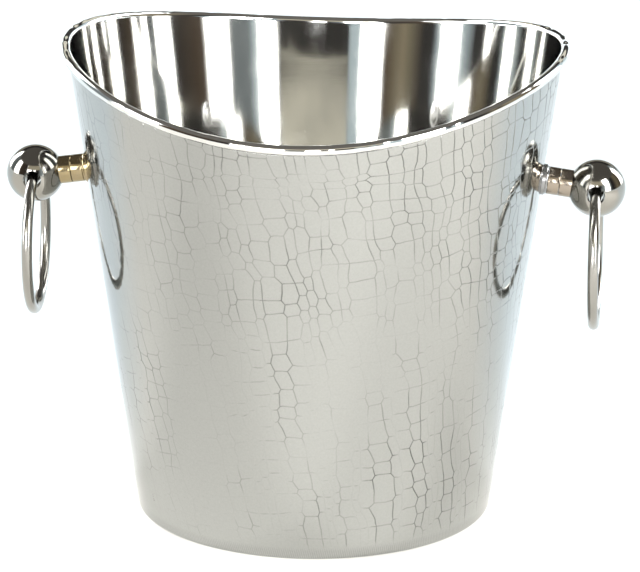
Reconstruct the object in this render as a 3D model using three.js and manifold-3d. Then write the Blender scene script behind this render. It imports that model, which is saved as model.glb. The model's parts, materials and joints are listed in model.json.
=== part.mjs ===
// A two-handled champagne bucket in polished stainless steel, in millimetres, +Z up.
// A smooth bucket, its rim curled outward over a wire, stands inside a thin textured sleeve.
// Each side carries a turned stem, a ball with a cross-hole and a loose ring that hangs in it.
// The origin is the middle of the underside, and the handles lie along the X axis.

import * as THREE from "three";
import { mergeVertices } from "three/addons/utils/BufferGeometryUtils.js";
import Module from "manifold-3d";

// Body
const baseRadius = 78.6; // outside of the sleeve where it meets the table
const rimHeight = 203.3; // mean height of the curl's middle
const wallSlope = 0.145; // millimetres that the wall leans out for each one up
const saddleHeight = 8.9; // how far the rim rises at the handles and dips between them
const bucketSheet = 0.8;
const sleeveSheet = 0.5;
const sheetGap = 0.3; // between the bucket and its sleeve
const hemWidth = 8; // sleeve folded in under the floor
const sleeveCorner = 2;
const bucketCorner = 3;
const curlRadius = 2.2;
const curlEndAngle = -110; // degrees: where the curled edge stops, just short of the wall
const saddleFromDrop = 27.3; // below the rim: the wall under this is a plain cone
const saddleFullDrop = 12.3; // below the rim: the wall above this rises and dips with it

// Handles
const handleDrop = 49.8; // from the rim down to where a stem's axis meets the sleeve
const stemLength = 13; // from the sleeve to where the stem's outside meets the ball
const ballRadius = 12.75;
const ringWireRadius = 2.4;
const ringOuterRadius = 34;
const stemRadius = 6.2;
const flangeLip = 0.7; // how far the foot ring stands out past the stem
const flangeHeight = 2.2;
const flangeEdge = 1.3;
const flangeSpare = 2; // metal behind a flange's blank, cut away to the wall's curve
const innerSpacerLength = 5;
const screwRadius = 2.5;
const screwHeadRadius = 4.2;
const screwHeadHeight = 2.2;
const screwDomeHeight = 1.5; // the rounded part of the head
const threadWall = 1.2; // metal left between the screw's hole and the cross-hole
const washerRadius = 6;
const washerThickness = 0.8;
const sealRadius = 5.6;
const sealThickness = 1;
const edgeBreak = 0.3;
const wallDrillReach = 10; // how far the drill for a screw passes either side of the sleeve's face
const overshoot = 1.5; // how far the other cutters pass what they cut, as a share of its radius

// Clearances
const touchGap = 0.3; // between two pieces that rest on each other
const holeClearance = 0.3; // around the screw
const ringClearance = 0.22; // around the ring's wire in the cross-hole

// Smoothness
const wallSegments = 64;
const turnedSegments = 24;
const smallSegments = 16;
const ballRows = 12;
const ringSegments = 36;
const ringWireSegments = 8;
const curlSteps = 8;
const rimWireSteps = 8;
const cornerSteps = 3;
const flareSteps = 5;
const domeSteps = 4;

// Sizes that follow from the ones above
const wallAngle = Math.atan(wallSlope);
const saddleFrom = rimHeight - saddleFromDrop;
const saddleFull = rimHeight - saddleFullDrop;
const handleHeight = rimHeight - handleDrop;
const bucketInset = sleeveSheet + sheetGap;
const floorUnderside = sleeveSheet + touchGap;
const floorTop = floorUnderside + bucketSheet;
const innerWallInset = bucketInset + bucketSheet;
const curlInsideRadius = curlRadius - bucketSheet;
const rimWireRadius = curlInsideRadius - touchGap;
const curlMiddle = wallRadius(rimHeight) - innerWallInset + curlRadius;
const sleeveTop = rimHeight - curlRadius - touchGap;
const ringRadius = ringOuterRadius - ringWireRadius;
const screwHoleRadius = screwRadius + holeClearance;
const wallAcross = wallRadius(handleHeight);
const ballReach = stemLength + Math.sqrt(ballRadius ** 2 - stemRadius ** 2); // sleeve to ball's middle

// The cross-hole is just wide enough for the ring's curve to pass through the ball.
const ringRise = Math.sqrt(ringRadius ** 2 - ballRadius ** 2); // of the ring, where it leaves the ball
const bentWire = ringWireRadius + ringRadius - ringRise + (ringWireRadius * ringRadius) / ringRise;
const flangeRadius = stemRadius + flangeLip;
const crossHoleRadius = bentWire / 2 + ringClearance;

const wasm = await Module();
wasm.setup();

// Outside radius of the sleeve at a height.
function wallRadius(height) {
  return baseRadius + wallSlope * height;
}

// Points on a round stretch of an outline, from one angle to another, in degrees.
function arc(x, y, radius, from, to, steps) {
  return Array.from({ length: steps + 1 }, (_, i) => {
    const angle = THREE.MathUtils.degToRad(from + ((to - from) * i) / steps);
    return new THREE.Vector2(x + radius * Math.cos(angle), y + radius * Math.sin(angle));
  });
}

function point(x, y) {
  return new THREE.Vector2(x, y);
}

// An outline of radius and height, turned about the Z axis.
function turned(outline, segments = turnedSegments) {
  return new THREE.LatheGeometry(outline, segments).rotateX(Math.PI / 2);
}

// A tube's outline, from its low end to its high end, with its edges broken.
function tubeOutline(inside, outside, low, high, bevel = edgeBreak) {
  return [
    point(inside, low),
    point(outside - bevel, low),
    point(outside, low + bevel),
    point(outside, high - bevel),
    point(outside - bevel, high),
    point(inside, high),
    point(inside, low),
  ];
}

// Makes the rim a saddle: the upper wall slides up and down its own cone, so it stays round in plan.
function saddled(geometry) {
  const place = geometry.getAttribute("position");
  for (let i = 0; i < place.count; i += 1) {
    const [x, y, z] = [place.getX(i), place.getY(i), place.getZ(i)];
    const share = THREE.MathUtils.clamp((z - saddleFrom) / (saddleFull - saddleFrom), 0, 1);
    const lift = share * saddleHeight * Math.cos(2 * Math.atan2(y, x));
    const radius = Math.hypot(x, y);
    const grow = radius > 0 ? (radius + wallSlope * lift) / radius : 1;
    place.setXYZ(i, x * grow, y * grow, z + lift);
  }
  return geometry;
}

function solid(geometry) {
  const bare = new THREE.BufferGeometry().setAttribute("position", geometry.getAttribute("position"));
  bare.setIndex(geometry.getIndex());
  const merged = mergeVertices(bare, 1e-4);
  const vertProperties = new Float32Array(merged.getAttribute("position").array);
  const triVerts = new Uint32Array(merged.getIndex().array);
  return new wasm.Manifold(new wasm.Mesh({ numProp: 3, vertProperties, triVerts }));
}

function surface(body) {
  const mesh = body.getMesh();
  const geometry = new THREE.BufferGeometry();
  geometry.setAttribute("position", new THREE.BufferAttribute(mesh.vertProperties, 3));
  geometry.setIndex(new THREE.BufferAttribute(mesh.triVerts, 1));
  return geometry;
}

function cut(geometry, ...tools) {
  return surface(tools.reduce((body, tool) => body.subtract(solid(tool)), solid(geometry)));
}

// The right-hand handle's frame: its Z axis leaves the wall square to it, at the handle's height.
const handleFrame = new THREE.Matrix4()
  .makeRotationY(Math.PI / 2 + wallAngle)
  .setPosition(wallAcross, 0, handleHeight);

function onHandle(geometry) {
  return geometry.applyMatrix4(handleFrame);
}

// A screw hole through the wall on the stem's axis, from one depth to another.
function screwHole(from, to) {
  const outline = [point(0, from), point(screwHoleRadius, from), point(screwHoleRadius, to), point(0, to)];
  return onHandle(turned(outline, smallSegments));
}

// Everything inside the wall's cone, moved out or in by an inset, over the handles' height.
function coneInside(inset) {
  const span = 2 * overshoot * flangeRadius;
  const low = handleHeight - span;
  const high = handleHeight + span;
  const outline = [
    point(0, low),
    point(wallRadius(low) - inset, low),
    point(wallRadius(high) - inset, high),
    point(0, high),
  ];
  return turned(outline, wallSegments);
}

// Body

// The bucket's own outline: floor, wall and curl, up the outside and down the inside.
function bucketGeometry() {
  const outsideAt = (height) => wallRadius(height) - bucketInset;
  const insideAt = (height) => wallRadius(height) - innerWallInset;
  const lean = THREE.MathUtils.radToDeg(wallAngle);
  const corner = (radiusAt, low, radius, from, to) => {
    const middle = low + radius;
    return arc(radiusAt(middle) - radius / Math.cos(wallAngle), middle, radius, from, to, cornerSteps);
  };
  const insideCorner = bucketCorner - bucketSheet;
  const outline = [
    point(0, floorUnderside),
    ...corner(outsideAt, floorUnderside, bucketCorner, -90, -lean),
    point(outsideAt(saddleFrom), saddleFrom),
    point(outsideAt(saddleFull), saddleFull),
    ...arc(curlMiddle, rimHeight, curlInsideRadius, 180, curlEndAngle, curlSteps),
    ...arc(curlMiddle, rimHeight, curlRadius, curlEndAngle, 180, curlSteps),
    point(insideAt(saddleFull), saddleFull),
    point(insideAt(saddleFrom), saddleFrom),
    ...corner(insideAt, floorTop, insideCorner, -lean, -90),
    point(0, floorTop),
  ];
  return saddled(turned(outline, wallSegments));
}

function sleeveGeometry() {
  const lean = THREE.MathUtils.radToDeg(wallAngle);
  const outsideAt = wallRadius;
  const insideAt = (height) => wallRadius(height) - sleeveSheet;
  const hemRadius = baseRadius - hemWidth;
  const insideCorner = sleeveCorner - sleeveSheet;
  const middle = sleeveCorner;
  const cornerAt = outsideAt(middle) - sleeveCorner / Math.cos(wallAngle);
  const outline = [
    point(hemRadius, 0),
    ...arc(cornerAt, middle, sleeveCorner, -90, -lean, cornerSteps),
    point(outsideAt(saddleFrom), saddleFrom),
    point(outsideAt(saddleFull), saddleFull),
    point(outsideAt(sleeveTop), sleeveTop),
    point(insideAt(sleeveTop), sleeveTop),
    point(insideAt(saddleFull), saddleFull),
    point(insideAt(saddleFrom), saddleFrom),
    ...arc(cornerAt, middle, insideCorner, -lean, -90, cornerSteps),
    point(hemRadius, sleeveSheet),
    point(hemRadius, 0),
  ];
  return saddled(turned(outline, wallSegments));
}

function rimWireGeometry() {
  return saddled(turned(arc(curlMiddle, rimHeight, rimWireRadius, 0, 360, rimWireSteps), wallSegments));
}

// Handle pieces, each on the right-hand handle's stem; heights run out from the sleeve.

const innerSpacerLow = flangeHeight + touchGap;
const innerSpacerHigh = innerSpacerLow + innerSpacerLength;
const outerSpacerLow = innerSpacerHigh + touchGap;
const screwTip = ballReach - crossHoleRadius - threadWall - touchGap;
const wallBack = -innerWallInset * Math.cos(wallAngle);
const sealBack = wallBack - touchGap - sealThickness;
const washerFront = sealBack - touchGap;
const washerBack = washerFront - washerThickness;
const headFront = washerBack - touchGap;

// A narrow foot ring with a small cove, hollowed at the back to sit on the round wall.
function flangeGeometry() {
  const rise = flangeHeight - flangeEdge;
  const spread = flangeRadius - stemRadius;
  const flare = Array.from({ length: flareSteps + 1 }, (_, i) => {
    const angle = (Math.PI / 2) * (i / flareSteps);
    return point(flangeRadius - spread * Math.sin(angle), flangeEdge + rise * (1 - Math.cos(angle)));
  });
  const outline = [
    point(screwHoleRadius, -flangeSpare),
    point(flangeRadius, -flangeSpare),
    ...flare,
    point(screwHoleRadius, flangeHeight),
    point(screwHoleRadius, -flangeSpare),
  ];
  return cut(onHandle(turned(outline)), coneInside(-touchGap));
}

function innerSpacerGeometry() {
  return onHandle(turned(tubeOutline(screwHoleRadius, stemRadius, innerSpacerLow, innerSpacerHigh)));
}

// The outer spacer's far end is a cup that the ball sits in.
function outerSpacerGeometry() {
  const blank = tubeOutline(screwHoleRadius, stemRadius, outerSpacerLow, ballReach);
  const ball = new THREE.SphereGeometry(ballRadius + touchGap, turnedSegments, ballRows);
  ball.rotateX(Math.PI / 2).translate(0, 0, ballReach);
  return cut(onHandle(turned(blank)), onHandle(ball));
}

// A ball with a hole right across it for the ring, and a blind hole for the screw.
function ballGeometry() {
  const ball = new THREE.SphereGeometry(ballRadius, turnedSegments, ballRows);
  ball.rotateX(Math.PI / 2).translate(0, 0, ballReach);
  const drillLength = 2 * overshoot * ballRadius;
  const crossHole = new THREE.CylinderGeometry(crossHoleRadius, crossHoleRadius, drillLength, turnedSegments);
  crossHole.translate(0, 0, ballReach);
  return cut(onHandle(ball), onHandle(crossHole), screwHole(0, screwTip + touchGap));
}

// A domed screw, driven from inside the bucket through the stem into the ball.
function screwGeometry() {
  const shoulder = headFront - (screwHeadHeight - screwDomeHeight);
  const dome = Array.from({ length: domeSteps }, (_, i) => {
    const angle = (Math.PI / 2) * (i / domeSteps);
    return point(screwHeadRadius * Math.sin(angle), shoulder - screwDomeHeight * Math.cos(angle));
  });
  const outline = [
    ...dome,
    point(screwHeadRadius, shoulder),
    point(screwHeadRadius, headFront),
    point(screwRadius, headFront),
    point(screwRadius, screwTip - edgeBreak),
    point(screwRadius - edgeBreak, screwTip),
    point(0, screwTip),
  ];
  return onHandle(turned(outline, smallSegments));
}

function washerGeometry() {
  return onHandle(turned(tubeOutline(screwHoleRadius, washerRadius, washerBack, washerFront, edgeBreak / 2)));
}

// A soft seal under the washer, its outer face shaped to the inside of the wall.
function sealGeometry() {
  const blank = onHandle(turned(tubeOutline(screwHoleRadius, sealRadius, sealBack, edgeBreak)));
  return surface(solid(blank).intersect(solid(coneInside(innerWallInset + touchGap))));
}

// The ring hangs straight down, as high in the cross-hole as its curve lets it.
function ringGeometry() {
  const above = crossHoleRadius - ringClearance - ringWireRadius;
  const ball = new THREE.Vector3(0, 0, ballReach).applyMatrix4(handleFrame);
  const ring = new THREE.TorusGeometry(ringRadius, ringWireRadius, ringWireSegments, ringSegments);
  return ring.rotateY(Math.PI / 2).translate(ball.x, 0, ball.z + above - ringRadius);
}

// Materials

function metal(color, roughness) {
  return new THREE.MeshStandardMaterial({ color, roughness, metalness: 1 });
}

const polishedSteel = metal(0xd4d2cc, 0.08);
const texturedSteel = metal(0xcfcdc6, 0.25);
const plainSteel = metal(0xb9b8b4, 0.35);
const nickel = metal(0xcac4ba, 0.07);
const brassyNickel = metal(0xc4ad7c, 0.12);
const blackRubber = new THREE.MeshStandardMaterial({ color: 0x1c1c1c, roughness: 0.8, metalness: 0 });

function named(name, geometry, material) {
  const mesh = new THREE.Mesh(geometry, material);
  mesh.name = name;
  return mesh;
}

// Assembly

const champagneBucket = new THREE.Group();
const screwHoles = [0, Math.PI].map((turn) => screwHole(-wallDrillReach, wallDrillReach).rotateZ(turn));
champagneBucket.add(
  named("inner_bucket", cut(bucketGeometry(), ...screwHoles), polishedSteel),
  named("rim_wire", rimWireGeometry(), plainSteel),
  named("textured_sleeve", cut(sleeveGeometry(), ...screwHoles), texturedSteel),
);

for (const [side, turn] of [["right", 0], ["left", Math.PI]]) {
  const handle = new THREE.Group();
  handle.rotation.z = turn;
  handle.add(
    named(`${side}_flange`, flangeGeometry(), nickel),
    named(`${side}_inner_spacer`, innerSpacerGeometry(), brassyNickel),
    named(`${side}_outer_spacer`, outerSpacerGeometry(), brassyNickel),
    named(`${side}_ball`, ballGeometry(), nickel),
    named(`${side}_screw`, screwGeometry(), plainSteel),
    named(`${side}_washer`, washerGeometry(), plainSteel),
    named(`${side}_seal`, sealGeometry(), blackRubber),
    named(`${side}_ring`, ringGeometry(), nickel),
  );
  champagneBucket.add(handle);
}

export default champagneBucket;
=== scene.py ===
import functools
import json
import math
import random

import bmesh
import bpy
from mathutils import Matrix, Vector, noise


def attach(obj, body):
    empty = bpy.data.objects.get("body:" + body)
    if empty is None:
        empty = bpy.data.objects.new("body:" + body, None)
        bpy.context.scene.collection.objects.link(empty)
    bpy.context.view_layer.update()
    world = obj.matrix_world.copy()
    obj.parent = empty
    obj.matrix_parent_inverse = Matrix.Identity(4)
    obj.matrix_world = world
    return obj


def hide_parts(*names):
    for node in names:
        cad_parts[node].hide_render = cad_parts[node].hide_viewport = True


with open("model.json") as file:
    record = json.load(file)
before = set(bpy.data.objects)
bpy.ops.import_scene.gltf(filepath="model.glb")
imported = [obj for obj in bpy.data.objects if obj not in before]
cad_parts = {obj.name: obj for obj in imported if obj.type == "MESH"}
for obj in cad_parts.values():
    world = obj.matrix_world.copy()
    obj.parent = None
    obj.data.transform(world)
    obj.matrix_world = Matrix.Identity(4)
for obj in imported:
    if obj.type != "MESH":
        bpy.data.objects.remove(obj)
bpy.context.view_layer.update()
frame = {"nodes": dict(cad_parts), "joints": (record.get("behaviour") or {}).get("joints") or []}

# ---- Camera ----
# A long lens from a little above the rim, a few degrees round towards the right-hand handle, so that
# handle is the nearer one. Its aim and shift set the bucket in the frame.
MM = 0.001
CAMERA_DISTANCE = 2400 * MM
CAMERA_ELEVATION = math.radians(17.3)
CAMERA_TURN = math.radians(4.8)
CAMERA_ROLL = math.radians(0.23)
CAMERA_AIM = Vector((0, 0, 110 * MM))
SENSOR = 36
LENS = 303.2
CLIP_END = 60

back = Vector((
    math.sin(CAMERA_TURN) * math.cos(CAMERA_ELEVATION),
    -math.cos(CAMERA_TURN) * math.cos(CAMERA_ELEVATION),
    math.sin(CAMERA_ELEVATION),
))
across = Vector((math.cos(CAMERA_TURN), math.sin(CAMERA_TURN), 0))
camera_data = bpy.data.cameras.new("camera")
camera_data.sensor_width = SENSOR
camera_data.lens = LENS
camera_data.shift_x = 0.0083
camera_data.shift_y = -0.0305
camera_data.clip_end = CLIP_END
camera = bpy.data.objects.new("camera", camera_data)
axes = Matrix((across, back.cross(across), back)).transposed().to_4x4()
roll = Matrix.Rotation(CAMERA_ROLL, 4, "Z")
camera.matrix_world = Matrix.Translation(CAMERA_AIM + back * CAMERA_DISTANCE) @ axes @ roll
bpy.context.scene.collection.objects.link(camera)
bpy.context.scene.camera = camera

# ---- Floor and light ----
# A plain pale floor that runs back to a white wall. Above the wall the room is dim, with tall soft
# boxes standing all round, which the polished metal picks up as bright stripes between dark ones.
FLOOR_SIZE = 14
FLOOR_WARM = (0.84, 0.83, 0.795, 1)
FLOOR_COOL = (0.74, 0.82, 0.87, 1)
COOL_FROM = 0.16
FRONT_BOX_SIZE = 0.35
FRONT_BOX_POWER = 8
FRONT_BOX_AIM = Vector((0.3, -0.35, 0))
FRONT_BOX_OFFSET = Vector((0.35, -0.25, 0.75))
BACKDROP_TOP = 24
SIDE_WALL_TOP = 0.5
BEIGE_FROM = 17.9
BEIGE_FADE = 4
LAMP_TOP = 40
CEILING_FADE = 0.3
LAMP_POWER = 5.5
WORLD_STRENGTH = 1.6

# The floor, warm in front of the bucket and cooler from the middle of it back.
mesh = bpy.data.meshes.new("floor")
bm = bmesh.new()
bmesh.ops.create_grid(bm, x_segments=1, y_segments=1, size=FLOOR_SIZE / 2)
bm.to_mesh(mesh)
bm.free()
floor = bpy.data.objects.new("floor", mesh)
bpy.context.scene.collection.objects.link(floor)
floor_paint = bpy.data.materials.new("floor_paint")
floor_paint.use_nodes = True
floor_shader = floor_paint.node_tree.nodes["Principled BSDF"]
nodes, links = floor_paint.node_tree.nodes, floor_paint.node_tree.links
place = nodes.new("ShaderNodeSeparateXYZ")
links.new(nodes.new("ShaderNodeTexCoord").outputs["Object"], place.inputs[0])
far_away = nodes.new("ShaderNodeValToRGB")
far_away.color_ramp.elements[0].position = 0.0
far_away.color_ramp.elements[0].color = FLOOR_WARM
far_away.color_ramp.elements[1].position = COOL_FROM
far_away.color_ramp.elements[1].color = FLOOR_COOL
links.new(place.outputs["Y"], far_away.inputs[0])
links.new(far_away.outputs[0], floor_shader.inputs["Base Color"])
floor_shader.inputs["Roughness"].default_value = 0.9
mesh.materials.append(floor_paint)

world = bpy.data.worlds.new("studio")
bpy.context.scene.world = world
world.use_nodes = True
tree = world.node_tree
backdrop = tree.nodes["Background"]


def node_math(nodes_of, operation, *values):
    """One arithmetic step in a node tree, on numbers or on other nodes' outputs."""
    node = nodes_of.nodes.new("ShaderNodeMath")
    node.operation = operation
    for socket, value in zip(node.inputs, values):
        if isinstance(value, bpy.types.NodeSocket):
            nodes_of.links.new(value, socket)
        else:
            socket.default_value = value
    return node.outputs[0]


world_math = functools.partial(node_math, tree)


def clamped(value):
    """A world number held between nought and one."""
    return world_math("MINIMUM", world_math("MAXIMUM", value, 0), 1)


def ramp(value, *stops):
    """A colour ramp through (place, colour) stops."""
    node = tree.nodes.new("ShaderNodeValToRGB")
    ends = node.color_ramp.elements
    while len(ends) < len(stops):
        ends.new(1)
    for end, (place, color) in zip(ends, stops):
        end.position = place
        end.color = (*color, 1)
    tree.links.new(value, node.inputs[0])
    return node.outputs[0]


def blended(mode, a, b, factor=1):
    """Two colours mixed, multiplied or otherwise put together."""
    node = tree.nodes.new("ShaderNodeMix")
    node.data_type = "RGBA"
    node.blend_type = mode
    node.clamp_factor = True
    for socket, value in ((node.inputs["Factor"], factor), (node.inputs["A"], a), (node.inputs["B"], b)):
        if isinstance(value, bpy.types.NodeSocket):
            tree.links.new(value, socket)
        else:
            socket.default_value = value
    return node.outputs["Result"]


direction = tree.nodes.new("ShaderNodeTexCoord").outputs["Generated"]
split = tree.nodes.new("ShaderNodeSeparateXYZ")
tree.links.new(direction, split.inputs[0])
along, behind, up = split.outputs
elevation = world_math("MULTIPLY", world_math("ARCSINE", up), 180 / math.pi)
bearing = world_math("MULTIPLY", world_math("ARCTAN2", along, behind), 180 / math.pi)
share_round = world_math("DIVIDE", world_math("ADD", bearing, 180), 360)

# Stripes round the room, by bearing from straight behind the bucket: right is positive.
DARK = (0.03, 0.028, 0.027)
BROWN = (0.075, 0.055, 0.038)
DIM = (0.16, 0.18, 0.19)
COOL = (0.42, 0.5, 0.54)
WARM = (0.22, 0.19, 0.13)
LIT = (1.0, 1.0, 1.0)
BRIGHTEST_DULL = 0.8
BANDS = (
    (-180, DARK), (-172, DIM), (-170, LIT), (-152, LIT), (-150, DARK), (-118, BROWN), (-113, LIT),
    (-91, LIT), (-87, DIM), (-70, DIM), (-64, COOL), (-58, LIT), (-43, LIT), (-38, DARK), (25, DARK),
    (29, COOL), (37, COOL), (40, LIT), (60, LIT), (64, BROWN), (82, WARM), (102, DARK), (112, DARK),
    (120, COOL), (122, LIT), (141, LIT), (145, COOL), (157, DIM), (160, DARK), (171, DARK), (174, LIT),
    (178, LIT),
)
stripes = ramp(share_round, *(((place + 180) / 360, color) for place, color in BANDS))
lamps = world_math("GREATER_THAN", stripes, BRIGHTEST_DULL)
glow = blended("MULTIPLY", stripes, world_math("ADD", world_math("MULTIPLY", lamps, LAMP_POWER), 1))

# How high the stripes stand: a pale wall below them, a dark gap and a beige band straight behind the
# bucket, a dim ceiling above, and one broad warm panel over the camera.
BEHIND = -6
ASIDE_FROM = 33
NEAR_CAMERA_FROM = 164
DARK_FROM = 9
FRONT_PANEL_FROM = 152
FRONT_PANEL_LOW = 25
BEIGE = (0.54, 0.52, 0.44, 1)
GAP_BLACK = (0.03, 0.028, 0.027, 1)
PALE_WALL = (0.9, 0.97, 1.0, 1)
CAMERA_BLACK = (0.02, 0.019, 0.018, 1)
FRONT_PANEL = (0.5, 0.46, 0.36, 1)
CEILING = (0.11, 0.104, 0.095, 1)
round_from_behind = world_math("ABSOLUTE", world_math("SUBTRACT", bearing, BEHIND))
aside = world_math("GREATER_THAN", round_from_behind, ASIDE_FROM)
near_camera = world_math("GREATER_THAN", round_from_behind, NEAR_CAMERA_FROM)
wall_drop = world_math("MULTIPLY", aside, BACKDROP_TOP - SIDE_WALL_TOP)
wall_top = world_math("SUBTRACT", BACKDROP_TOP, wall_drop)
above_wall = clamped(world_math("SUBTRACT", elevation, wall_top))
ceiling = clamped(world_math("MULTIPLY", world_math("SUBTRACT", elevation, LAMP_TOP), CEILING_FADE))
front = world_math("GREATER_THAN", world_math("ABSOLUTE", bearing), FRONT_PANEL_FROM)
over = world_math("GREATER_THAN", elevation, FRONT_PANEL_LOW)
off_beige = clamped(world_math("MULTIPLY", world_math("SUBTRACT", BEIGE_FROM, elevation), BEIGE_FADE))
pale = world_math("MAXIMUM", aside, world_math("LESS_THAN", elevation, DARK_FROM))
low_wall = blended("MIX", BEIGE, GAP_BLACK, off_beige)
low_wall = blended("MIX", low_wall, PALE_WALL, pale)
low_wall = blended("MIX", low_wall, CAMERA_BLACK, near_camera)
room = blended("MIX", low_wall, glow, above_wall)
room = blended("MIX", room, FRONT_PANEL, world_math("MULTIPLY", front, over))
room = blended("MIX", room, CEILING, ceiling)
tree.links.new(room, backdrop.inputs["Color"])
backdrop.inputs["Strength"].default_value = WORLD_STRENGTH
bpy.context.scene.view_settings.view_transform = "Standard"

light = bpy.data.lights.new("front_box", "AREA")
light.size = FRONT_BOX_SIZE
light.energy = FRONT_BOX_POWER
light.use_shadow = False
lamp = bpy.data.objects.new("front_box", light)
lamp.location = FRONT_BOX_AIM + FRONT_BOX_OFFSET
lamp.rotation_euler = FRONT_BOX_OFFSET.to_track_quat("Z", "Y").to_euler()
bpy.context.scene.collection.objects.link(lamp)

# ---- Inner bucket ----
# Polished stainless sheet spun to a plain cone with a flat floor. Its top edge is cut to a saddle and
# curled outward and down over a wire; the curl is hammered tight, which leaves small flats on it.
BASE_RADIUS = 78.6 * MM
WALL_SLOPE = 0.145
RIM_HEIGHT = 203.3 * MM
SADDLE = 8.9 * MM
SADDLE_FROM = 176 * MM
SADDLE_FULL = 191 * MM
SLEEVE_SHEET = 0.5 * MM
BUCKET_SHEET = 0.8 * MM
SHEET_GAP = 0.3 * MM
CURL_RADIUS = 2.2 * MM
FLOOR_UNDERSIDE = 0.8 * MM
CORNER = 3 * MM
WALL_ANGLE = math.atan(WALL_SLOPE)
BODY_STEPS = 480


def wall_radius(z):
    return BASE_RADIUS + WALL_SLOPE * z


def arc(x, z, radius, start, end, steps):
    """Points on a round stretch of an outline, between two angles in degrees."""
    turns = [math.radians(start + (end - start) * i / steps) for i in range(steps + 1)]
    return [(x + radius * math.cos(t), z + radius * math.sin(t)) for t in turns]


def spun(outline, steps, closed=False):
    """A bmesh of an outline of (radius, height) points turned right round the Z axis."""
    bm = bmesh.new()
    points = [bm.verts.new((x, 0, z)) for x, z in outline]
    edges = [bm.edges.new(pair) for pair in zip(points, points[1:])]
    if closed:
        edges.append(bm.edges.new((points[-1], points[0])))
    bmesh.ops.spin(
        bm, geom=points + edges, cent=(0, 0, 0), axis=(0, 0, 1), angle=math.tau, steps=steps, use_merge=True
    )
    bmesh.ops.remove_doubles(bm, verts=bm.verts, dist=1e-6)
    bmesh.ops.recalc_face_normals(bm, faces=bm.faces)
    return bm


def saddled(bm):
    """Slides the upper wall up and down its own cone, so that the rim rises at the handles."""
    for vert in bm.verts:
        share = min(max((vert.co.z - SADDLE_FROM) / (SADDLE_FULL - SADDLE_FROM), 0), 1)
        lift = share * SADDLE * math.cos(2 * math.atan2(vert.co.y, vert.co.x))
        radius = math.hypot(vert.co.x, vert.co.y)
        if radius > 0:
            vert.co.x *= 1 + WALL_SLOPE * lift / radius
            vert.co.y *= 1 + WALL_SLOPE * lift / radius
        vert.co.z += lift


def piece(bm, name, material, body, slot, *nodes, sharp=35):
    """Finishes a bmesh as a smooth-shaded object that rides on a body and stands for its nodes."""
    mesh = bpy.data.meshes.new(name)
    for face in bm.faces:
        face.smooth = True
    bm.to_mesh(mesh)
    bm.free()
    if sharp:
        mesh.set_sharp_from_angle(angle=math.radians(sharp))
    mesh.materials.append(material)
    made = bpy.data.objects.new(name, mesh)
    bpy.context.scene.collection.objects.link(made)
    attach(made, body)
    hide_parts(*nodes)
    return made


def metal(name, color):
    """A metal's material, with its shader, ready for its finish."""
    material = bpy.data.materials.new(name)
    material.use_nodes = True
    shader = material.node_tree.nodes["Principled BSDF"]
    shader.inputs["Base Color"].default_value = (*color, 1)
    shader.inputs["Metallic"].default_value = 1
    return material, shader


finish = bpy.data.node_groups.new("sheet_finish", "ShaderNodeTree")
for label, value in (("Ripple", 0.0001), ("Brushing", 0.000001), ("Roughness", 0.06), ("Smudges", 0.1)):
    socket = finish.interface.new_socket(label, in_out="INPUT", socket_type="NodeSocketFloat")
    socket.default_value = value
for label in ("Height", "Roughness"):
    finish.interface.new_socket(label, in_out="OUTPUT", socket_type="NodeSocketFloat")
given = finish.nodes.new("NodeGroupInput")
made = finish.nodes.new("NodeGroupOutput")
place = finish.nodes.new("ShaderNodeTexCoord").outputs["Object"]


def finish_noise(stretch, detail):
    """Noise with so many bumps a metre each way."""
    mapping = finish.nodes.new("ShaderNodeMapping")
    mapping.inputs["Scale"].default_value = stretch
    finish.links.new(place, mapping.inputs["Vector"])
    noisy = finish.nodes.new("ShaderNodeTexNoise")
    noisy.inputs["Scale"].default_value = 1
    noisy.inputs["Detail"].default_value = detail
    finish.links.new(mapping.outputs["Vector"], noisy.inputs["Vector"])
    return noisy.outputs["Fac"]


finish_math = functools.partial(node_math, finish)
RIPPLE_SCALE = (16, 16, 9)
BRUSHING_SCALE = (70, 70, 2200)
SMUDGE_SCALE = (45, 45, 30)
SMUDGE_CONTRAST = 4
rippled = finish_math("MULTIPLY", finish_noise(RIPPLE_SCALE, 1), given.outputs["Ripple"])
brushed = finish_math("MULTIPLY", finish_noise(BRUSHING_SCALE, 2), given.outputs["Brushing"])
finish.links.new(finish_math("ADD", rippled, brushed), made.inputs["Height"])
smudge = finish_math("POWER", finish_noise(SMUDGE_SCALE, 4), SMUDGE_CONTRAST)
dulled = finish_math("MULTIPLY", smudge, given.outputs["Smudges"])
finish.links.new(finish_math("ADD", given.outputs["Roughness"], dulled), made.inputs["Roughness"])


def finished(material, shader, ripple, brushing, roughness, smudges):
    """Gives a metal its ripples, fine brushing and smudges."""
    nodes, links = material.node_tree.nodes, material.node_tree.links
    group = nodes.new("ShaderNodeGroup")
    group.node_tree = finish
    values = {"Ripple": ripple, "Brushing": brushing, "Roughness": roughness, "Smudges": smudges}
    for label, value in values.items():
        group.inputs[label].default_value = value
    bump = nodes.new("ShaderNodeBump")
    bump.inputs["Distance"].default_value = 1
    links.new(group.outputs["Height"], bump.inputs["Height"])
    links.new(bump.outputs["Normal"], shader.inputs["Normal"])
    links.new(group.outputs["Roughness"], shader.inputs["Roughness"])
    return group


steel, steel_shader = metal("polished_steel", (0.76, 0.755, 0.73))
finished(steel, steel_shader, 0.07 * MM, 0.0014 * MM, 0.035, 0.25)

inset = SLEEVE_SHEET + SHEET_GAP
lean = math.degrees(WALL_ANGLE)
curl_middle = wall_radius(RIM_HEIGHT) - inset - BUCKET_SHEET + CURL_RADIUS


def corner_arc(depth, low, radius, start, end):
    """The rounded corner between the wall and the floor, at a depth inside the sleeve's face."""
    middle = low + radius
    return arc(wall_radius(middle) - depth - radius / math.cos(WALL_ANGLE), middle, radius, start, end, 8)


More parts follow.
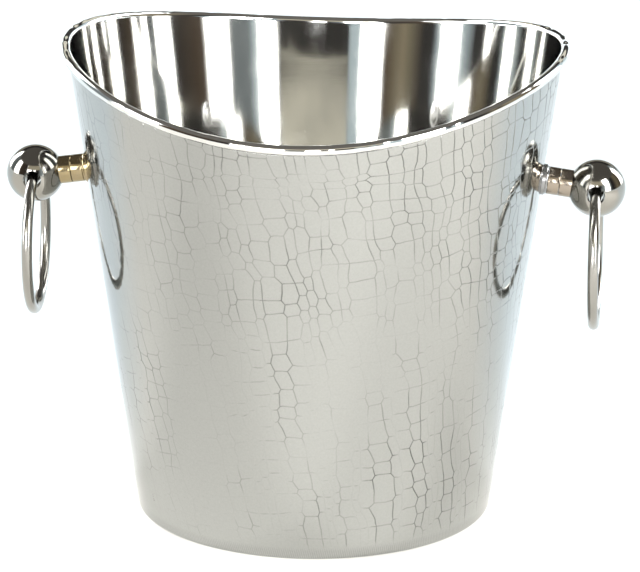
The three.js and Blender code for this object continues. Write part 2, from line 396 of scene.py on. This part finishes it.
inside = inset + BUCKET_SHEET
outline = [
    (0, FLOOR_UNDERSIDE),
    *corner_arc(inset, FLOOR_UNDERSIDE, CORNER, -90, -lean),
    (wall_radius(SADDLE_FROM) - inset, SADDLE_FROM),
    (wall_radius(SADDLE_FULL) - inset, SADDLE_FULL),
    *arc(curl_middle, RIM_HEIGHT, CURL_RADIUS - BUCKET_SHEET, 180, -110, 16),
    *arc(curl_middle, RIM_HEIGHT, CURL_RADIUS, -110, 180, 24),
    (wall_radius(SADDLE_FULL) - inside, SADDLE_FULL),
    (wall_radius(SADDLE_FROM) - inside, SADDLE_FROM),
    *corner_arc(inside, FLOOR_UNDERSIDE + BUCKET_SHEET, CORNER - BUCKET_SHEET, -lean, -90),
    (0, FLOOR_UNDERSIDE + BUCKET_SHEET),
]
bucket_mesh = spun(outline, BODY_STEPS)
rng = random.Random(3)
NICKS = 64
nicks = [
    (rng.uniform(-math.pi, math.pi), rng.uniform(1.2, 4) * MM, rng.uniform(0.05, 0.18) * MM)
    for _ in range(NICKS)
]
for vert in bucket_mesh.verts:
    spread = math.hypot(vert.co.x, vert.co.y)
    from_curl = Vector((spread - curl_middle, vert.co.z - RIM_HEIGHT))
    if abs(from_curl.length - CURL_RADIUS) > 0.01 * MM or from_curl.x < -CURL_RADIUS / 2:
        continue
    around = math.atan2(vert.co.y, vert.co.x)
    dent = 0
    for middle, width, depth in nicks:
        away = abs((around - middle + math.pi) % math.tau - math.pi) * spread / width
        dent = max(dent, depth * (1 - away**4)) if away < 1 else dent
    shift = from_curl.normalized() * -dent
    vert.co.x *= 1 + shift.x / spread
    vert.co.y *= 1 + shift.x / spread
    vert.co.z += shift.y
saddled(bucket_mesh)
inner_bucket = piece(bucket_mesh, "inner_bucket_fine", steel, "bucket", "polished_steel", "inner_bucket")

# ---- Rim wire ----
# The round steel wire that the rim is curled over, shut in by the curl.
wire_steel, wire_shader = metal("wire_steel", (0.5, 0.5, 0.49))
finished(wire_steel, wire_shader, 0.01 * MM, 0.002 * MM, 0.3, 0.4)
wire_slots = frame["nodes"]["rim_wire"].data.materials
wire_slots.clear()
wire_slots.append(wire_steel)

# ---- Textured sleeve ----
# Thin satin sheet rolled round the bucket, pressed all over with the scales of a reptile's skin: long
# wavy lines up the wall and fainter ones across. It tucks under the curl and folds in under the floor.
COLUMNS = 300
ROWS = 93
LINE_STEP = 1000
PLAIN_BAND = 5.5 * MM
LEAN = 0.16
ROW_RISE = 9 * MM
RISE_TURN = math.radians(25)
ROW_WAVE = 1.5 * MM
SWAY = 2.6 * MM
SWAY_SCALE = 55
EASING = 9
UNEVENNESS = 0.12 * MM
FADE_FROM = 120 * MM
FADE_SHARE = 0.38
GROOVE_WIDTH = 0.84 * MM
GROOVE_DEPTH = 0.12 * MM
SLEEVE_CORNER = 2 * MM
SATIN = (0.385, 0.388, 0.374)
# The colour the sheet goes darker to in the grooves, and the colour of the painted shadow along its top edge
# under the curl.
GROOVE_DARK_AND_SHADOW = (0.06, 0.059, 0.052)
GROOVE_ROUGHNESS = 0.5
# How dark the painted shadow under the curl makes the sheet's top edge.
EDGE_SHADOW = 0.85
HEM = 8 * MM
SLEEVE_TOP = RIM_HEIGHT - CURL_RADIUS - SHEET_GAP

rng = random.Random(7)
corner_top = SLEEVE_CORNER * (1 - math.sin(WALL_ANGLE))

# Where each line up the wall stands at each row, in grid steps; it wanders by a step now and then.
starts = []
step = 0
while step < COLUMNS - 1:
    starts.append(step)
    step += rng.choice((2, 3, 3, 3, 4))
lines = []
for start in starts:
    wander, path = 0, []
    for row in range(ROWS):
        if rng.random() < 0.1:
            wander = max(-1, min(1, wander + rng.choice((-1, 1))))
        path.append(max(start + wander, lines[-1][row] + 2) if lines else start + wander)
    lines.append(path)

# Which scale each small square of the grid belongs to. A line across mostly runs on from the last
# column of scales, a step higher or lower, and sometimes stops or starts.
scale_of = [[0] * COLUMNS for _ in range(ROWS)]
cuts = list(range(2, ROWS, 4))
for index, path in enumerate(lines):
    cuts = [cut + rng.choice((-1, 0, 0, 1, 1, 1)) for cut in cuts if rng.random() > 0.07]
    spaced = []
    for cut in sorted(cuts):
        while cut - (spaced[-1] if spaced else 0) > 6:
            spaced.append((spaced[-1] if spaced else 0) + rng.choice((3, 4)))
        if cut - (spaced[-1] if spaced else 0) > 2:
            spaced.append(cut)
    while ROWS - spaced[-1] > 6:
        spaced.append(spaced[-1] + rng.choice((3, 4)))
    cuts = spaced
    following = lines[(index + 1) % len(lines)]
    wrap = COLUMNS if index == len(lines) - 1 else 0
    for row in range(ROWS):
        level = sum(cut <= row for cut in cuts)
        for column in range(path[row], max(path[row] + 1, following[row] + wrap)):
            scale_of[row][column % COLUMNS] = index * LINE_STEP + level

bm = bmesh.new()
bmesh.ops.create_grid(bm, x_segments=COLUMNS, y_segments=ROWS, size=0.5)
bm.faces.ensure_lookup_table()
layer = bm.faces.layers.int.new("scale")
for face in bm.faces:
    middle = face.calc_center_median()
    column = min(COLUMNS - 1, int((middle.x + 0.5) * COLUMNS))
    row = min(ROWS - 1, int((middle.y + 0.5) * ROWS))
    face[layer] = scale_of[row][column]
span = SLEEVE_TOP - corner_top


def lean_round(z):
    """How far round the wall the lines have leaned by a height."""
    return LEAN * max(z - corner_top, 0) / wall_radius(z)


def on_wall(angle, z):
    """The place on the wall's cone at a bearing and a height."""
    return Vector((wall_radius(z) * math.cos(angle), wall_radius(z) * math.sin(angle), z))


for vert in bm.verts:
    share = vert.co.y + 0.5
    z = corner_top + span * share
    angle = math.tau * (vert.co.x + 0.25) - lean_round(z)
    slope = math.sin(angle + math.pi / 2 - RISE_TURN)
    z += ROW_RISE * slope * min(1, 4 * share, 4 * (1 - share))
    z += ROW_WAVE * math.sin(3 * angle) * math.sin(math.pi * share)
    plain_place = on_wall(angle, z) * SWAY_SCALE
    sway = SWAY * min(1, 8 * share, 8 * (1 - share))
    angle += sway * noise.noise(plain_place + Vector((4, 4, 4))) / wall_radius(z)
    z += sway * noise.noise(plain_place)
    vert.co = on_wall(angle, z)
bmesh.ops.remove_doubles(bm, verts=bm.verts, dist=1e-5)

# The lines are eased into curves on the cone, then every scale is parted from its neighbours.
on_line = [edge for edge in bm.edges if len({face[layer] for face in edge.link_faces}) > 1]
joined = {}
for edge in on_line:
    for a, b in (edge.verts, reversed(edge.verts)):
        joined.setdefault(a, []).append(b)
inner = [vert for vert in bm.verts if not vert.is_boundary]
for _ in range(EASING):
    moved = {}
    for vert in inner:
        near = joined.get(vert) or [edge.other_vert(vert) for edge in vert.link_edges]
        mean = sum((other.co for other in near), Vector()) / len(near)
        moved[vert] = vert.co.lerp(mean, 0.45)
    for vert, place in moved.items():
        flat = math.hypot(place.x, place.y)
        radius = wall_radius(place.z)
        vert.co = (place.x * radius / flat, place.y * radius / flat, place.z)
for vert in inner:
    if vert in joined:
        nudge = rng.uniform(-1, 1) * UNEVENNESS / wall_radius(vert.co.z)
        angle = math.atan2(vert.co.y, vert.co.x) + nudge
        vert.co = on_wall(angle, vert.co.z + rng.uniform(-1, 1) * UNEVENNESS)

bmesh.ops.split_edges(bm, edges=on_line)
inset_made = bmesh.ops.inset_region(
    bm, faces=bm.faces, thickness=GROOVE_WIDTH / 2, use_boundary=True, use_even_offset=False
)
sides = set(inset_made["faces"])
top, low = SLEEVE_TOP - 1e-6, corner_top + 1e-6
for edge in bm.edges:
    if len(edge.link_faces) == 2 and sum(face in sides for face in edge.link_faces) == 1:
        edge.smooth = False
# Each corner's groove strength, which also carries the painted shadow along the top edge.
sink_and_shadow = bm.verts.layers.float.new("groove_and_shadow")
fading = {index for index in range(len(lines)) if rng.random() < FADE_SHARE}
for vert in bm.verts:
    if vert.is_boundary and low < vert.co.z < top:
        vert[sink_and_shadow] = 1
bmesh.ops.remove_doubles(bm, verts=bm.verts, dist=1e-5)

# Each line is sunk by its own strength: patchy, stronger towards the top and the right-hand handle, and
# weaker where it runs across. Some of the lines up the wall fade out lower down.
for vert in bm.verts:
    if not vert[sink_and_shadow]:
        continue
    outward = Vector((vert.co.x, vert.co.y, 0)).normalized()
    line = [edge for edge in vert.link_edges if edge.other_vert(vert)[sink_and_shadow]]
    rises = (abs(edge.verts[0].co.z - edge.verts[1].co.z) / max(edge.calc_length(), 1e-9) for edge in line)
    upright = max(rises, default=0)
    patchy = noise.noise(Vector((vert.co.x * 22, vert.co.y * 22, vert.co.z * 14)) + Vector((3, 1, 8)))
    stroke = noise.noise(vert.co * 90)
    bias = 0.42 * (vert.co.z / SLEEVE_TOP) ** 2 + 0.2 * vert.co.x / BASE_RADIUS
    strength = min(max(0.22 + bias + 0.8 * patchy + 0.5 * stroke, 0.05), 1) * (0.5 + 0.5 * upright)
    strength *= min(max((vert.co.z - PLAIN_BAND) / (2 * MM), 0), 1)
    beside = {face[layer] // LINE_STEP for face in vert.link_faces}
    if len(beside) > 1 and max(beside) in fading:
        strength *= min(max((vert.co.z - FADE_FROM) / (20 * MM) + 1, 0.12), 1)
    vert[sink_and_shadow] = strength
    vert.co -= outward * GROOVE_DEPTH * strength

# The sheet's lower edge turns in to a hem, and the plain inner face goes back up to the top edge.
hem_radius = BASE_RADIUS - HEM
corner_middle = wall_radius(SLEEVE_CORNER) - SLEEVE_CORNER / math.cos(WALL_ANGLE)
turn_in = arc(corner_middle, SLEEVE_CORNER, SLEEVE_CORNER, -lean, -90, 8)[1:]
turn_out = arc(corner_middle, SLEEVE_CORNER, SLEEVE_CORNER - SLEEVE_SHEET, -90, -lean, 6)
stations = [*turn_in, (hem_radius, 0), (hem_radius, SLEEVE_SHEET), *turn_out]
climb = [corner_top + (SADDLE_FROM - corner_top) * i / 12 for i in range(1, 12)]
stations += [(wall_radius(z) - SLEEVE_SHEET, z) for z in (*climb, SADDLE_FROM, SADDLE_FULL, SLEEVE_TOP)]
stations.append((wall_radius(SLEEVE_TOP), SLEEVE_TOP))
loop = [edge for edge in bm.edges if edge.is_boundary and edge.verts[0].co.z < low]
leaned = 0
for radius, z in stations:
    turn = Matrix.Rotation(leaned - lean_round(z), 3, "Z")
    leaned = lean_round(z)
    grown = bmesh.ops.extrude_edge_only(bm, edges=loop)["geom"]
    loop = [item for item in grown if isinstance(item, bmesh.types.BMEdge)]
    for vert in (item for item in grown if isinstance(item, bmesh.types.BMVert)):
        flat = math.hypot(vert.co.x, vert.co.y)
        vert.co = turn @ Vector((vert.co.x * radius / flat, vert.co.y * radius / flat, z))
        vert[sink_and_shadow] = 0
bmesh.ops.remove_doubles(bm, verts=bm.verts, dist=1e-5)

# Where two lines meet within a step of each other, their sides leave a stray doubled face.
stray = [face for face in bm.faces if any(edge.is_boundary for edge in face.edges)]
bmesh.ops.delete(bm, geom=stray, context="FACES")

# The very top edge is painted dark: a painted shadow under the curl.
for vert in bm.verts:
    if vert.co.z > top and math.hypot(vert.co.x, vert.co.y) > wall_radius(SLEEVE_TOP) - SLEEVE_SHEET / 2:
        vert[sink_and_shadow] = EDGE_SHADOW
bmesh.ops.recalc_face_normals(bm, faces=bm.faces)
saddled(bm)

satin, satin_shader = metal("textured_steel", SATIN)
nodes, links = satin.node_tree.nodes, satin.node_tree.links
# The colour goes darker in the grooves by their strength, and a painted shadow darkens the top edge under
# the curl.
groove_and_shadow_mask = nodes.new("ShaderNodeAttribute")
groove_and_shadow_mask.attribute_name = "groove_and_shadow"
darkening_and_shadow = nodes.new("ShaderNodeMix")
darkening_and_shadow.data_type = "RGBA"
darkening_and_shadow.inputs["A"].default_value = (*SATIN, 1)
darkening_and_shadow.inputs["B"].default_value = (*GROOVE_DARK_AND_SHADOW, 1)
links.new(groove_and_shadow_mask.outputs["Fac"], darkening_and_shadow.inputs["Factor"])
surface = finished(satin, satin_shader, 0.03 * MM, 0.0006 * MM, 0.05, 0.4)

# A comb of fine lines runs round the foot of the wall, and the whole sheet has a faint grain.
COMB_PITCH = 0.95 * MM
COMB_TOP = 6 * MM
satin_math = functools.partial(node_math, satin.node_tree)
spot = nodes.new("ShaderNodeTexCoord").outputs["Object"]
spot_axes = nodes.new("ShaderNodeSeparateXYZ")
links.new(spot, spot_axes.inputs[0])
east, north, height = spot_axes.outputs
round_foot = satin_math("MULTIPLY", satin_math("ARCTAN2", north, east), math.tau * BASE_RADIUS / COMB_PITCH)
slanted = satin_math("ADD", round_foot, satin_math("MULTIPLY", height, math.tau / (4 * MM)))
teeth = satin_math("MULTIPLY", satin_math("ADD", satin_math("SINE", slanted), 1), 0.5)
near_foot = satin_math("MULTIPLY", satin_math("SUBTRACT", COMB_TOP, height), 1 / (2 * MM))
near_foot = satin_math("MINIMUM", satin_math("MAXIMUM", near_foot, 0), 1)
speckle = nodes.new("ShaderNodeTexNoise")
speckle.inputs["Scale"].default_value = 1100
speckle.inputs["Detail"].default_value = 2
links.new(spot, speckle.inputs["Vector"])
grain = satin_math("MULTIPLY_ADD", speckle.outputs["Fac"], 0.14, 0.93)
shade = satin_math("SUBTRACT", grain, satin_math("MULTIPLY", satin_math("MULTIPLY", teeth, near_foot), 0.16))
tinted = nodes.new("ShaderNodeVectorMath")
tinted.operation = "SCALE"
links.new(darkening_and_shadow.outputs["Result"], tinted.inputs[0])
links.new(shade, tinted.inputs["Scale"])
links.new(tinted.outputs["Vector"], satin_shader.inputs["Base Color"])
dull = nodes.new("ShaderNodeMix")
dull.inputs["B"].default_value = GROOVE_ROUGHNESS
links.new(groove_and_shadow_mask.outputs["Fac"], dull.inputs["Factor"])
links.new(surface.outputs["Roughness"], dull.inputs["A"])
links.new(dull.outputs["Result"], satin_shader.inputs["Roughness"])
sleeve = piece(bm, "textured_sleeve_fine", satin, "bucket", "textured_steel", "textured_sleeve", sharp=0)

# ---- Handles ----
# Turned and nickel-plated parts screwed up in a stack on each side: a narrow foot ring, two brass
# spacers, and a ball with a hole across it. Each stack stands square to the wall, on a domed screw that
# comes through from inside the bucket over a washer and a rubber seal.
STEM_RADIUS = 6.2 * MM
BALL_RADIUS = 12.75 * MM
STEM_LENGTH = 13 * MM
BALL_REACH = STEM_LENGTH + math.sqrt(BALL_RADIUS**2 - STEM_RADIUS**2)
CROSS_HOLE = 4.08 * MM
FLANGE_RADIUS = 6.9 * MM
FLANGE_HEIGHT = 2.2 * MM
FLANGE_EDGE = 1.3 * MM
SPACER = 5 * MM
GAP = 0.3 * MM
SEAM = 0.08 * MM
SCREW_HOLE = 2.8 * MM
EDGE = 0.3 * MM

nickel, nickel_shader = metal("bright_nickel", (0.34, 0.328, 0.298))
finished(nickel, nickel_shader, 0.01 * MM, 0.0003 * MM, 0.05, 0.5)
brass, brass_shader = metal("brassy_nickel", (0.36, 0.285, 0.17))
finished(brass, brass_shader, 0.02 * MM, 0.001 * MM, 0.1, 0.8)
dull_foot, dull_foot_shader = metal("dull_nickel", (0.3, 0.3, 0.3))
finished(dull_foot, dull_foot_shader, 0.03 * MM, 0.004 * MM, 0.18, 0.8)
plain, plain_shader = metal("plain_steel", (0.5, 0.5, 0.49))
finished(plain, plain_shader, 0.01 * MM, 0.002 * MM, 0.22, 0.6)
rubber, rubber_shader = metal("black_rubber", (0.02, 0.02, 0.02))
finished(rubber, rubber_shader, 0.02 * MM, 0.003 * MM, 0.6, 0.6)
rubber_shader.inputs["Metallic"].default_value = 0

# The plate has worn off the spacers in places: bare brass on one handle, greyer on the other.
BARE_BRASS = (0.34, 0.272, 0.155, 1)
GREY_BRASS = (0.33, 0.285, 0.235, 1)
WEAR_SCALE = 260
WEAR_BY_SIDE = 4
worn = brass.node_tree.nodes.new("ShaderNodeMix")
worn.data_type = "RGBA"
worn.inputs["A"].default_value = BARE_BRASS
worn.inputs["B"].default_value = GREY_BRASS
wear_place = brass.node_tree.nodes.new("ShaderNodeTexCoord").outputs["Object"]
wear_axes = brass.node_tree.nodes.new("ShaderNodeSeparateXYZ")
brass.node_tree.links.new(wear_place, wear_axes.inputs[0])
wear_noise = brass.node_tree.nodes.new("ShaderNodeTexNoise")
wear_noise.inputs["Scale"].default_value = WEAR_SCALE
wear_noise.inputs["Detail"].default_value = 3
brass.node_tree.links.new(wear_place, wear_noise.inputs["Vector"])
wear = brass.node_tree.nodes.new("ShaderNodeMath")
wear.operation = "MULTIPLY_ADD"
wear.inputs[1].default_value = WEAR_BY_SIDE
brass.node_tree.links.new(wear_axes.outputs["X"], wear.inputs[0])
brass.node_tree.links.new(wear_noise.outputs["Fac"], wear.inputs[2])
brass.node_tree.links.new(wear.outputs[0], worn.inputs["Factor"])
brass.node_tree.links.new(worn.outputs["Result"], brass_shader.inputs["Base Color"])
joint_of = {joint["child"]: joint for joint in frame["joints"]}


def stem_frame(side):
    """Maps a height out along a stem, from the sleeve's face, to its place on the bucket."""
    ball = Vector(joint_of[side + "_ring"]["pos_m"])
    turn = 0 if ball.x > 0 else math.pi
    tilt = Matrix.Rotation(turn, 4, "Z") @ Matrix.Rotation(math.pi / 2 + WALL_ANGLE, 4, "Y")
    return Matrix.Translation(ball) @ tilt @ Matrix.Translation((0, 0, -BALL_REACH))


def tube(inner_radius, radius, bottom, height, edge=EDGE):
    """A plain ring's outline with rounded outer edges."""
    return [
        (inner_radius, bottom),
        *arc(radius - edge, bottom + edge, edge, -90, 0, 4),
        *arc(radius - edge, height - edge, edge, 0, 90, 4),
        (inner_radius, height),
    ]


def flange_outline():
    """A foot ring's outline, coved in from its edge to the stem."""
    flare = [math.radians(90 * i / 16) for i in range(17)]
    spread, rise = FLANGE_RADIUS - STEM_RADIUS, FLANGE_HEIGHT - FLANGE_EDGE
    cove = [(FLANGE_RADIUS - spread * math.sin(t), FLANGE_EDGE + rise * (1 - math.cos(t))) for t in flare]
    return [(SCREW_HOLE, SEAM), (FLANGE_RADIUS, SEAM), *cove, (SCREW_HOLE, FLANGE_HEIGHT)]


def seated(bm, low, high):
    """Brings the face of a foot or seal between two heights down onto the round wall."""
    for vert in bm.verts:
        if low <= vert.co.z <= high:
            vert.co.z -= CURVE_RADIUS - math.sqrt(CURVE_RADIUS**2 - vert.co.y**2)


def drilled(blank, drill):
    """Cuts one bmesh out of another."""
    made = []
    for shape in (blank, drill):
        solid = bpy.data.meshes.new("solid")
        shape.to_mesh(solid)
        shape.free()
        made.append(bpy.data.objects.new("solid", solid))
        bpy.context.scene.collection.objects.link(made[-1])
    cut = made[0].modifiers.new("cut", "BOOLEAN")
    cut.operation = "DIFFERENCE"
    cut.object = made[1]
    cut.solver = "EXACT"
    shape = bmesh.new()
    shape.from_mesh(made[0].evaluated_get(bpy.context.evaluated_depsgraph_get()).to_mesh())
    for spent in made:
        bpy.data.objects.remove(spent)
    return shape


HANDLE_HEIGHT = 153.5 * MM
CURVE_RADIUS = wall_radius(HANDLE_HEIGHT)
WALL_BACK = -(SLEEVE_SHEET + SHEET_GAP + BUCKET_SHEET) * math.cos(WALL_ANGLE)
SEAL_RADIUS = 5.6 * MM
SEAL_BACK = WALL_BACK - 1.3 * MM
WASHER_RADIUS = 6 * MM
WASHER_BACK = SEAL_BACK - 1.1 * MM
SCREW_RADIUS = 2.5 * MM
HEAD_RADIUS = 4.2 * MM
HEAD_BACK = WASHER_BACK - 2.4 * MM
DOME_RISE = 1.5 * MM
SHOULDER = HEAD_BACK + DOME_RISE
SCREW_TIP = 18.5 * MM
SOCKET = 1.5 * MM
SOCKET_DEPTH = 1.3 * MM
OFF_SEAM = 0.11  # turns a drill so that its corners miss the corners of what it cuts

for side in ("right", "left"):
    place = stem_frame(side)
    foot = spun(flange_outline(), 96, closed=True)
    seated(foot, 0, GAP)
    foot.transform(place)
    foot_metal = dull_foot if side == "right" else brass
    piece(foot, side + "_flange_fine", foot_metal, "bucket", "bright_nickel", side + "_flange")
    low = FLANGE_HEIGHT + SEAM
    spacer = spun(tube(SCREW_HOLE, STEM_RADIUS, low, low + SPACER + GAP), 96, closed=True)
    spacer.transform(place)
    piece(spacer, side + "_inner_spacer_fine", brass, "bucket", "brassy_nickel", side + "_inner_spacer")
    low += SPACER + GAP + SEAM
    touch = math.degrees(math.asin(STEM_RADIUS / (BALL_RADIUS + SEAM)))
    bore = math.degrees(math.asin(SCREW_HOLE / (BALL_RADIUS + SEAM)))
    cup = arc(0, BALL_REACH, BALL_RADIUS + SEAM, -90 + touch, -90 + bore, 8)
    outline = [(SCREW_HOLE, low), *arc(STEM_RADIUS - EDGE, low + EDGE, EDGE, -90, 0, 4), *cup]
    spacer = spun(outline, 96, closed=True)
    spacer.transform(place)
    piece(spacer, side + "_outer_spacer_fine", brass, "bucket", "brassy_nickel", side + "_outer_spacer")
    ball = bmesh.new()
    bmesh.ops.create_uvsphere(ball, u_segments=96, v_segments=64, radius=BALL_RADIUS)
    drill = bmesh.new()
    bmesh.ops.create_cone(
        drill, cap_ends=True, segments=96, radius1=CROSS_HOLE, radius2=CROSS_HOLE, depth=4 * BALL_RADIUS
    )
    drill.transform(Matrix.Rotation(math.pi / 2, 4, "X") @ Matrix.Rotation(OFF_SEAM, 4, "Z"))
    shape = drilled(ball, drill)
    shape.transform(place @ Matrix.Translation((0, 0, BALL_REACH)))
    piece(shape, side + "_ball_fine", nickel, "bucket", "bright_nickel", side + "_ball")

    dome = [math.radians(90 * i / 12) for i in range(12)]
    outline = [(HEAD_RADIUS * math.sin(t), SHOULDER - DOME_RISE * math.cos(t)) for t in dome]
    outline += [
        (HEAD_RADIUS, SHOULDER), (HEAD_RADIUS, WASHER_BACK - SEAM), (SCREW_RADIUS, WASHER_BACK - SEAM),
        (SCREW_RADIUS, SCREW_TIP - EDGE), (SCREW_RADIUS - EDGE, SCREW_TIP), (0, SCREW_TIP),
    ]
    drill = bmesh.new()
    bmesh.ops.create_cone(
        drill, cap_ends=True, segments=6, radius1=SOCKET, radius2=SOCKET, depth=2 * SOCKET_DEPTH
    )
    drill.transform(Matrix.Translation((0, 0, HEAD_BACK)) @ Matrix.Rotation(OFF_SEAM, 4, "Z"))
    screw = drilled(spun(outline, 64), drill)
    screw.transform(place)
    piece(screw, side + "_screw_fine", plain, "bucket", "plain_steel", side + "_screw")
    washer = spun(tube(SCREW_HOLE, WASHER_RADIUS, WASHER_BACK, SEAL_BACK - GAP, EDGE / 2), 96, closed=True)
    washer.transform(place)
    piece(washer, side + "_washer_fine", plain, "bucket", "plain_steel", side + "_washer")
    seal = spun(tube(SCREW_HOLE, SEAL_RADIUS, SEAL_BACK, WALL_BACK - SEAM), 96, closed=True)
    seated(seal, WALL_BACK - 0.5 * MM, 0)
    seal.transform(place)
    piece(seal, side + "_seal_fine", rubber, "bucket", "black_rubber", side + "_seal")

# ---- Rings ----
# Round nickel-plated wire bent to a ring through the ball and closed up so that no joint shows.
# Each one hangs loose and swings on the hole across the ball.
RING_RADIUS = 31.6 * MM
RING_WIRE = 2.4 * MM
RING_CLEARANCE = 0.22 * MM
ring_nickel, ring_shader = metal("ring_nickel", (0.34, 0.33, 0.305))
finished(ring_nickel, ring_shader, 0.015 * MM, 0.001 * MM, 0.12, 0.8)
for side in ("right", "left"):
    ball = Vector(joint_of[side + "_ring"]["pos_m"])
    drop = RING_RADIUS - (CROSS_HOLE - RING_CLEARANCE - RING_WIRE)
    ring = spun(arc(RING_RADIUS, 0, RING_WIRE, 0, 345, 23), 192, closed=True)
    ring.transform(Matrix.Translation(ball - Vector((0, 0, drop))) @ Matrix.Rotation(math.pi / 2, 4, "Y"))
    piece(ring, side + "_ring_fine", ring_nickel, side + "_ring", "bright_nickel", side + "_ring")
